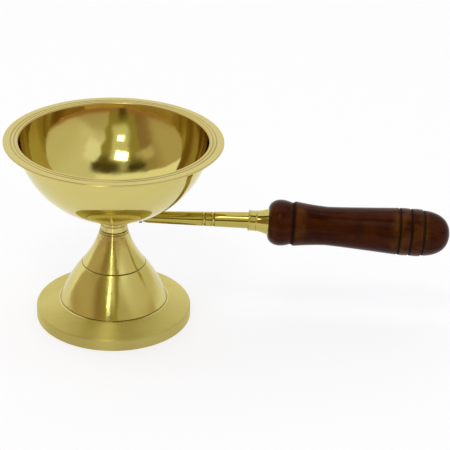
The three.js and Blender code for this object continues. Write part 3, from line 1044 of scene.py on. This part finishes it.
def polished_brass():
    """Bowl: mirror polish, faint spinning rings and a satin rim."""
    sheet = new_sheet("polished_brass")
    place = sheet.place()
    radius, height = sheet.turned_place(place, UPRIGHT)
    on_rim = height.eased(RIM_UNDER, RIM_TOP - RIM_THICKNESS / 2)
    cuts = on_rim * soiled(radius, [LIP_RADIUS + d for d in RIM_LINES], RIM_DIRT)
    shine = smudged(sheet, place, *BOWL_SHINE)
    dents = dented(sheet, place, *BOWL_DENTS)
    marks = lathe_marks(sheet, radius, height, BOWL_MARKS, dents)
    dulled = sheet.noise(place, BRASS_CLOUDS) * 0.25 + on_rim * 0.65
    clean = sheet.blend(dulled, BRASS, BRASS_DULL)
    from_centre = sheet.vector("DISTANCE", place, (AXIS_X, 0, BOWL_CENTRE), output="Value")
    inside = 1 - from_centre.eased(INNER_RADIUS + WALL_MIDST, BOWL_RADIUS - WALL_MIDST)
    # painted warm reflection: an orange-brown band inside the bowl, below the rim
    warm_reflection = inside * height.eased(RIM_TOP - WARM_REFLECTION_FROM, RIM_TOP - WARM_REFLECTION_FULL) * 0.6
    clean = sheet.blend(warm_reflection, clean, BRASS_WARM_REFLECTION)
    return sheet.finish(
        Base_Color=sheet.blend(cuts * 0.4, clean, TARNISH),
        Metallic=1.0,
        Roughness=on_rim * 0.22 + shine,
        Normal=marks,
    )


def pedestal_dirt_and_shadow(height):
    """Dirt in the pedestal's lines, and a painted shadow on the neck close under the bowl."""
    faint = (NECK_TOP - FAINT_LINES[0], NECK_TOP - FAINT_LINES[1], COLLAR_BOTTOM - FAINT_LINES[0])
    cuts = soiled(height, (WAIST_HEIGHT, COLLAR_BOTTOM, CONE_FOOT_HEIGHT), PEDESTAL_DIRT)
    cuts = cuts + soiled(height, faint, FAINT_DIRT) * 0.6
    # painted shadow on the neck's top, under the bowl
    return cuts + height.eased(NECK_TOP - NECK_SHADOW_FROM, NECK_TOP - NECK_SHADOW_FULL)


def pedestal_colour(sheet, place, height, on_foot):
    """The pedestal's brass: tarnished round the neck, and paler in streaks on the foot's top, where
    brushing streaks carry painted light on the upward face.
    """
    on_neck = height.between(COLLAR_BOTTOM - TARNISH_REACH, NECK_TOP, TARNISH_REACH)
    on_neck = on_neck * sheet.noise(place, NECK_CLOUDS).eased(0.35, 0.65)
    colour = sheet.blend(sheet.noise(place, BRASS_CLOUDS) * 0.3, BRASS, BRASS_DULL)
    colour = sheet.blend(on_neck * 0.45, colour, TARNISH)
    # painted light: the foot's upward face paler than its edge, in streaks like brushing
    on_top = height.eased(FOOT_EDGE_HEIGHT - FOOT_TOP_EDGE, FOOT_EDGE_HEIGHT + FOOT_SHOULDER)
    streaks = sheet.noise(sheet.vector("MULTIPLY", place, FOOT_STRETCH), FOOT_STREAKS)
    return sheet.blend(on_foot * on_top * (streaks * 0.6 + 0.1), colour, BRASS_PALE_LIT)


def turned_brass():
    """Pedestal: brighter turned faces, a satin foot, and a dull cast hollow."""
    sheet = new_sheet("turned_brass")
    place = sheet.place()
    radius, height = sheet.turned_place(place, UPRIGHT)
    hollow = sheet.add("ShaderNodeAttribute", {"attribute_name": "hollow"}, {}, "Fac")
    on_foot = radius.eased(CONE_FOOT_RADIUS, CONE_FOOT_RADIUS + SATIN_EDGE)
    shine = smudged(sheet, place, *PEDESTAL_SHINE) + on_foot * 0.4
    # dirt in the lines, and a painted shadow at the neck's top
    cuts = pedestal_dirt_and_shadow(height)
    polished = pedestal_colour(sheet, place, height, on_foot)
    dents = dented(sheet, place, *PEDESTAL_DENTS)
    marks = lathe_marks(sheet, radius, height, PEDESTAL_MARKS, dents)
    grain = sheet.noise(place, CAST_GRAIN, detail=4.0)
    return sheet.finish(
        Base_Color=sheet.blend(hollow, sheet.blend(cuts * 0.85, polished, GRIME_AND_SHADOW), CAST_BRASS),
        Metallic=1.0,
        Roughness=shine + hollow * (grain * 0.3 + 0.15),
        Anisotropic=0.85,
        Anisotropic_Rotation=0.25,
        Normal=sheet.bump(grain * hollow, CAST_GRAIN_HEIGHT, marks),
    )


def handle_brass():
    """Shank and ferrule: drawn through the lathe, a little wavy, and darker towards the bowl, a
    painted dark reflection.
    """
    sheet = new_sheet("handle_brass")
    place = sheet.place()
    radius, along = sheet.turned_place(place, SHANK_LINE)
    half = SHANK_RING_WIDTH / 2
    cuts = soiled(along, [at + edge for at in SHANK_RINGS for edge in (-half, half)], SHANK_DIRT)
    # painted dark reflection, strongest towards the bowl
    dark_reflection = DARK_REFLECTION - along.eased(*DARK_REFLECTION_THINS) * 0.1 - along.eased(*DARK_REFLECTION_ENDS) * 0.2
    clean = sheet.blend(sheet.noise(place, HANDLE_CLOUDS) * 0.2 + dark_reflection, BRASS, BRASS_DARK_REFLECTION)
    return sheet.finish(
        Base_Color=sheet.blend(cuts * 0.6, clean, GRIME_AND_SHADOW),
        Metallic=1.0,
        Roughness=smudged(sheet, place, *HANDLE_SHINE),
        Normal=lathe_marks(sheet, radius, along, HANDLE_MARKS),
    )


def bolt_brass():
    """Bolt: plainly machined and a little tarnished."""
    sheet = new_sheet("bolt_brass")
    place = sheet.place()
    radius, height = sheet.turned_place(place, UPRIGHT)
    return sheet.finish(
        Base_Color=sheet.blend(sheet.noise(place, BOLT_CLOUDS), BRASS, BRASS_DULL),
        Metallic=1.0,
        Roughness=smudged(sheet, place, *BOLT_SHINE),
        Normal=lathe_marks(sheet, radius, height, BOLT_MARKS),
    )


def plain_steel():
    """Washer and nut: bright zinc-grey steel with a fine grain."""
    sheet = new_sheet("plain_steel")
    grain = sheet.noise(sheet.place(), STEEL_GRAIN, detail=4.0)
    return sheet.finish(
        Base_Color=sheet.blend(grain, STEEL, STEEL_DULL),
        Metallic=1.0,
        Roughness=grain * 0.2 + 0.25,
        Normal=sheet.bump(grain, STEEL_GRAIN_HEIGHT),
    )


def blackened_steel():
    """Forged rod: black scale that is uneven to the touch."""
    sheet = new_sheet("blackened_steel")
    scale = sheet.noise(sheet.place(), SCALE_GRAIN, detail=5.0)
    return sheet.finish(
        Base_Color=sheet.blend(scale, SCALE_BLACK, SCALE_GREY),
        Roughness=scale * 0.3 + 0.5,
        Specular_IOR_Level=0.25,
        Normal=sheet.bump(scale, SCALE_GRAIN_HEIGHT),
    )


def lacquered_wood():
    """Grip: red-brown stained wood, streaked along its length, paler where tools cut across it."""
    sheet = new_sheet("lacquered_wood")
    place = sheet.place()
    radius, distance = sheet.turned_place(place, GRIP_LINE)
    along = distance - GRIP_FRONT
    stretched = sheet.vector("MULTIPLY", place, FIBRE_STRETCH)
    streaks = sheet.noise(stretched, WOOD_STREAKS)
    fibres = sheet.noise(stretched, FIBRE_GRAIN)
    clouds = sheet.noise(place, WOOD_CLOUDS)
    worn = along.between(*WORN_SHOULDER) + along.between(*WORN_SWELL)
    worn = (worn + along.between(*WORN_FRONT) * 0.4) * clouds.eased(0.25, 0.75)
    colour = sheet.blend((streaks * 0.6 + clouds * 0.4).eased(0.35, 0.62), WOOD_DARK, WOOD_RED)
    colour = sheet.blend(worn, colour, WOOD_OCHRE)
    colour = sheet.blend(streaks.eased(0.55, 0.75) * 0.35, colour, WOOD_BURNT)
    grooves = along.between(*BEAD_SHADE) + soiled(along, GROOVES, GRIP_DIRT)
    marks = lathe_marks(sheet, radius, along, GRIP_MARKS)
    return sheet.finish(
        Base_Color=sheet.blend(grooves * 0.8, colour, WOOD_BURNT),
        Roughness=fibres * 0.12 + 0.14 + grooves * 0.5,
        Specular_IOR_Level=0.06,
        Normal=sheet.bump(fibres, FIBRE_GRAIN_HEIGHT, marks),
    )


# Studio

WHITE = (1, 1, 1, 1)
FLOOR_SIZE = 1.36
FLOOR_DROP = 0.05
FLOOR_TINT = (0.8, 0.8, 0.8, 1)
FLOOR_FAINT = (0.4, 0.4, 0.4, 1)
FLOOR_GLOW = (0.65, 0.655, 0.7, 1)

# Cards round the burner, which its polished faces mirror, in degrees from straight overhead:
# across is a card's span towards the handle, near its span towards the camera, and soft how soft
# the edges of the two are. A card may bow, and taper towards the camera.
Card = namedtuple("Card", "across near soft colour bow taper", defaults=(0, 0))
ROOM = (1.12, 1.12, 1.08)
ROOM_CARDS = (
    # Pale walls on the handle's side, a darker one in front, and a window
    Card((18, 130), (-75, 80), (6, 20), (0.84, 0.82, 0.74)),
    Card((52, 130), (-75, 100), (24, 10), (0.76, 0.72, 0.58)),
    Card((12, 75), (54, 110), (8, 14), (0.60, 0.54, 0.38)),
    Card((18, 38), (14, 42), (8, 12), (1.06, 1.08, 1.10)),
    # Brown walls on the other side
    Card((-130, -4), (8, 110), (8, 4), (0.44, 0.34, 0.20), bow=0.006),
    Card((-130, -50), (8, 80), (20, 4), (0.60, 0.50, 0.34), bow=0.006),
    Card((-44, -10), (32, 110), (16, 14), (0.34, 0.23, 0.13)),
    # A dark ceiling in front, with a lit corner and a darker edge
    Card((-33, 23), (9, 100), (6, 5), (0.38, 0.33, 0.11), bow=0.006, taper=0.004),
    Card((-46, -23), (17, 30), (6, 8), (0.66, 0.58, 0.42)),
    Card((-34, 24), (9, 28), (8, 14), (0.16, 0.13, 0.04), bow=0.006, taper=0.004),
    # A pale strip through it, dark corners beside the strip, and its dim ends
    Card((-15, 7), (22, 66), (8, 8), (0.80, 0.80, 0.60)),
    Card((-35, -12), (11, 19), (8, 6), (0.07, 0.06, 0.02), bow=0.005),
    Card((-3, 25), (5, 18), (9, 8), (0.09, 0.07, 0.02), bow=0.006),
    Card((-13, -4), (9, 32), (8, 6), (0.50, 0.49, 0.36)),
    Card((-14, 0), (74, 92), (12, 12), (0.14, 0.10, 0.03)),
)

# Line that tapering cards narrow towards, and the waver of all their edges, in degrees
TAPER_LINE = 5
ROOM_GRAIN = 6.0
ROOM_UNEVEN = 9.0

# Warm horizon in front of the burner, in degrees, and its break beside the pedestal's highlight
HORIZON = (0.46, 0.27, 0.12)
HORIZON_HEIGHT = 9.0
HORIZON_SIDES, HORIZON_SOFT = 100.0, 10
HORIZON_BREAK = (-14, 0, 4)
LEVEL, LEVEL_SOFT = 90, 1
NEVER_ZERO = 0.0001


def with_cards(sheet, right, near):
    """The room's colour with its cards, later ones on top of earlier ones."""
    colour = (*ROOM, 1)
    for card in ROOM_CARDS:
        bowed = near + right * right * card.bow
        tapered = (right + TAPER_LINE) * (near * card.taper + 1) - TAPER_LINE
        factor = tapered.between(*card.across, card.soft[0])
        factor = factor * bowed.between(*card.near, card.soft[1])
        colour = sheet.blend(factor, colour, (*card.colour, 1))
    return colour


def with_horizon(sheet, colour, x, toward, overhead, right):
    """The room's colour with the warm horizon, and white below it."""
    side = sheet.math("ABSOLUTE", sheet.math("DEGREES", sheet.math("ARCTAN2", x, toward)))
    low = overhead.eased(LEVEL - HORIZON_HEIGHT, LEVEL - HORIZON_HEIGHT / 2)
    low = low * (1 - side.eased(HORIZON_SIDES - HORIZON_SOFT, HORIZON_SIDES + HORIZON_SOFT))
    low = low * (1 - right.between(*HORIZON_BREAK))
    colour = sheet.blend(low, colour, (*HORIZON, 1))
    return sheet.blend(overhead.eased(LEVEL - LEVEL_SOFT, LEVEL + LEVEL_SOFT), colour, WHITE)


def light_room():
    """World: a pale room with soft lights and dark cards, plain white where the camera looks."""
    world = bpy.data.worlds.new("pale_studio")
    bpy.context.scene.world = world
    sheet = Sheet(world)
    direction = sheet.add("ShaderNodeTexCoord", {}, {}).other("Generated")
    x = sheet.add("ShaderNodeSeparateXYZ", {}, {0: direction})
    toward = x.other("Y") * -1
    overhead = sheet.math("DEGREES", sheet.math("ARCCOSINE", x.other("Z")))
    spread = overhead / (sheet.math("SQRT", x * x + toward * toward) + NEVER_ZERO)
    uneven = (sheet.noise(direction, ROOM_GRAIN) - 0.5) * ROOM_UNEVEN
    right, near = x * spread + uneven, toward * spread + uneven
    colour = with_cards(sheet, right, near)
    colour = with_horizon(sheet, colour, x, toward, overhead, right)
    seen = sheet.add("ShaderNodeLightPath", {}, {}).other("Is Camera Ray")
    background = sheet.add("ShaderNodeBackground", {}, {"Color": sheet.blend(seen, colour, WHITE)})
    sheet.add("ShaderNodeOutputWorld", {}, {"Surface": background})


# Lamps: middle, width and height in millimetres, and brightness; a lamp looks at the burner
LAMPS = (
    ((-338, -1260, 2380), 640, 500, 6.5),
    ((-76, -172, 246), 32, 28, 6.5),
    ((-65, -90, 63), 10, 52, 2.3),
)


def hang_lamps():
    """Soft lamps in front of the burner, which its polished faces show as bright patches."""
    target = Vector((AXIS_X, 0, BOWL_SEAT))
    for i, (middle, width, height, brightness) in enumerate(LAMPS):
        bpy.ops.object.light_add(type="AREA", location=Vector(middle) * MM)
        lamp = bpy.context.object
        lamp.name = f"studio_lamp_{i + 1}"
        lamp.rotation_euler = (Vector(middle) - target).to_track_quat("Z", "Y").to_euler()
        lamp.data.shape = "RECTANGLE"
        lamp.data.size, lamp.data.size_y = width * MM, height * MM
        lamp.data.energy = brightness * math.pi * width * height * MM * MM
        lamp.visible_camera = False


def lay_floor():
    """Plain pale floor that looks white and keeps a soft shadow."""
    bpy.ops.object.select_all(action="DESELECT")
    bpy.ops.mesh.primitive_plane_add(size=FLOOR_SIZE, location=(0, 0, -FLOOR_DROP * MM))
    floor = started("studio_floor")
    sheet = new_sheet("pale_floor")
    camera_ray = sheet.add("ShaderNodeLightPath", {}, {})
    mirrored, through = camera_ray.other("Is Glossy Ray"), camera_ray.other("Is Transmission Ray")
    seen = sheet.math("MAXIMUM", sheet.math("MAXIMUM", mirrored, through), camera_ray)
    plain = sheet.add("ShaderNodeBsdfDiffuse", {}, {"Color": FLOOR_TINT})
    faint = sheet.add("ShaderNodeBsdfDiffuse", {}, {"Color": FLOOR_FAINT})
    glow = sheet.add("ShaderNodeEmission", {}, {"Color": FLOOR_GLOW})
    shown = sheet.add("ShaderNodeAddShader", {}, {0: faint, 1: glow})
    surface = sheet.add("ShaderNodeMixShader", {}, {0: seen, 1: plain, 2: shown})
    sheet.add("ShaderNodeOutputMaterial", {}, {"Surface": surface})
    floor.data.materials.append(sheet.owner)


# Put together

def dress(piece, node, material):
    """Gives a piece its finish, lets it ride on the body and stand for its node of the frame."""
    piece.data.materials.clear()
    piece.data.materials.append(material)
    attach(piece, "root")
    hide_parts(node)


def build_burner():
    """All nine pieces. The dark grip is kept out of the brass's mirror, like a flag in a studio."""
    handle, steel = handle_brass(), plain_steel()
    dress(make_pedestal(), "pedestal", turned_brass())
    dress(make_bowl(), "bowl", polished_brass())
    dress(make_bolt(), "bowl_bolt", bolt_brass())
    dress(make_washer(), "bolt_washer", steel)
    dress(make_nut(), "bolt_nut", steel)
    dress(make_rod(), "core_rod", blackened_steel())
    dress(make_shank(), "brass_shank", handle)
    dress(make_ferrule(), "ferrule", handle)
    grip = make_grip()
    grip.visible_glossy = False
    dress(grip, "wooden_grip", lacquered_wood())


build_burner()
light_room()
hang_lamps()
lay_floor()
bpy.context.scene.view_settings.view_transform = "Standard"
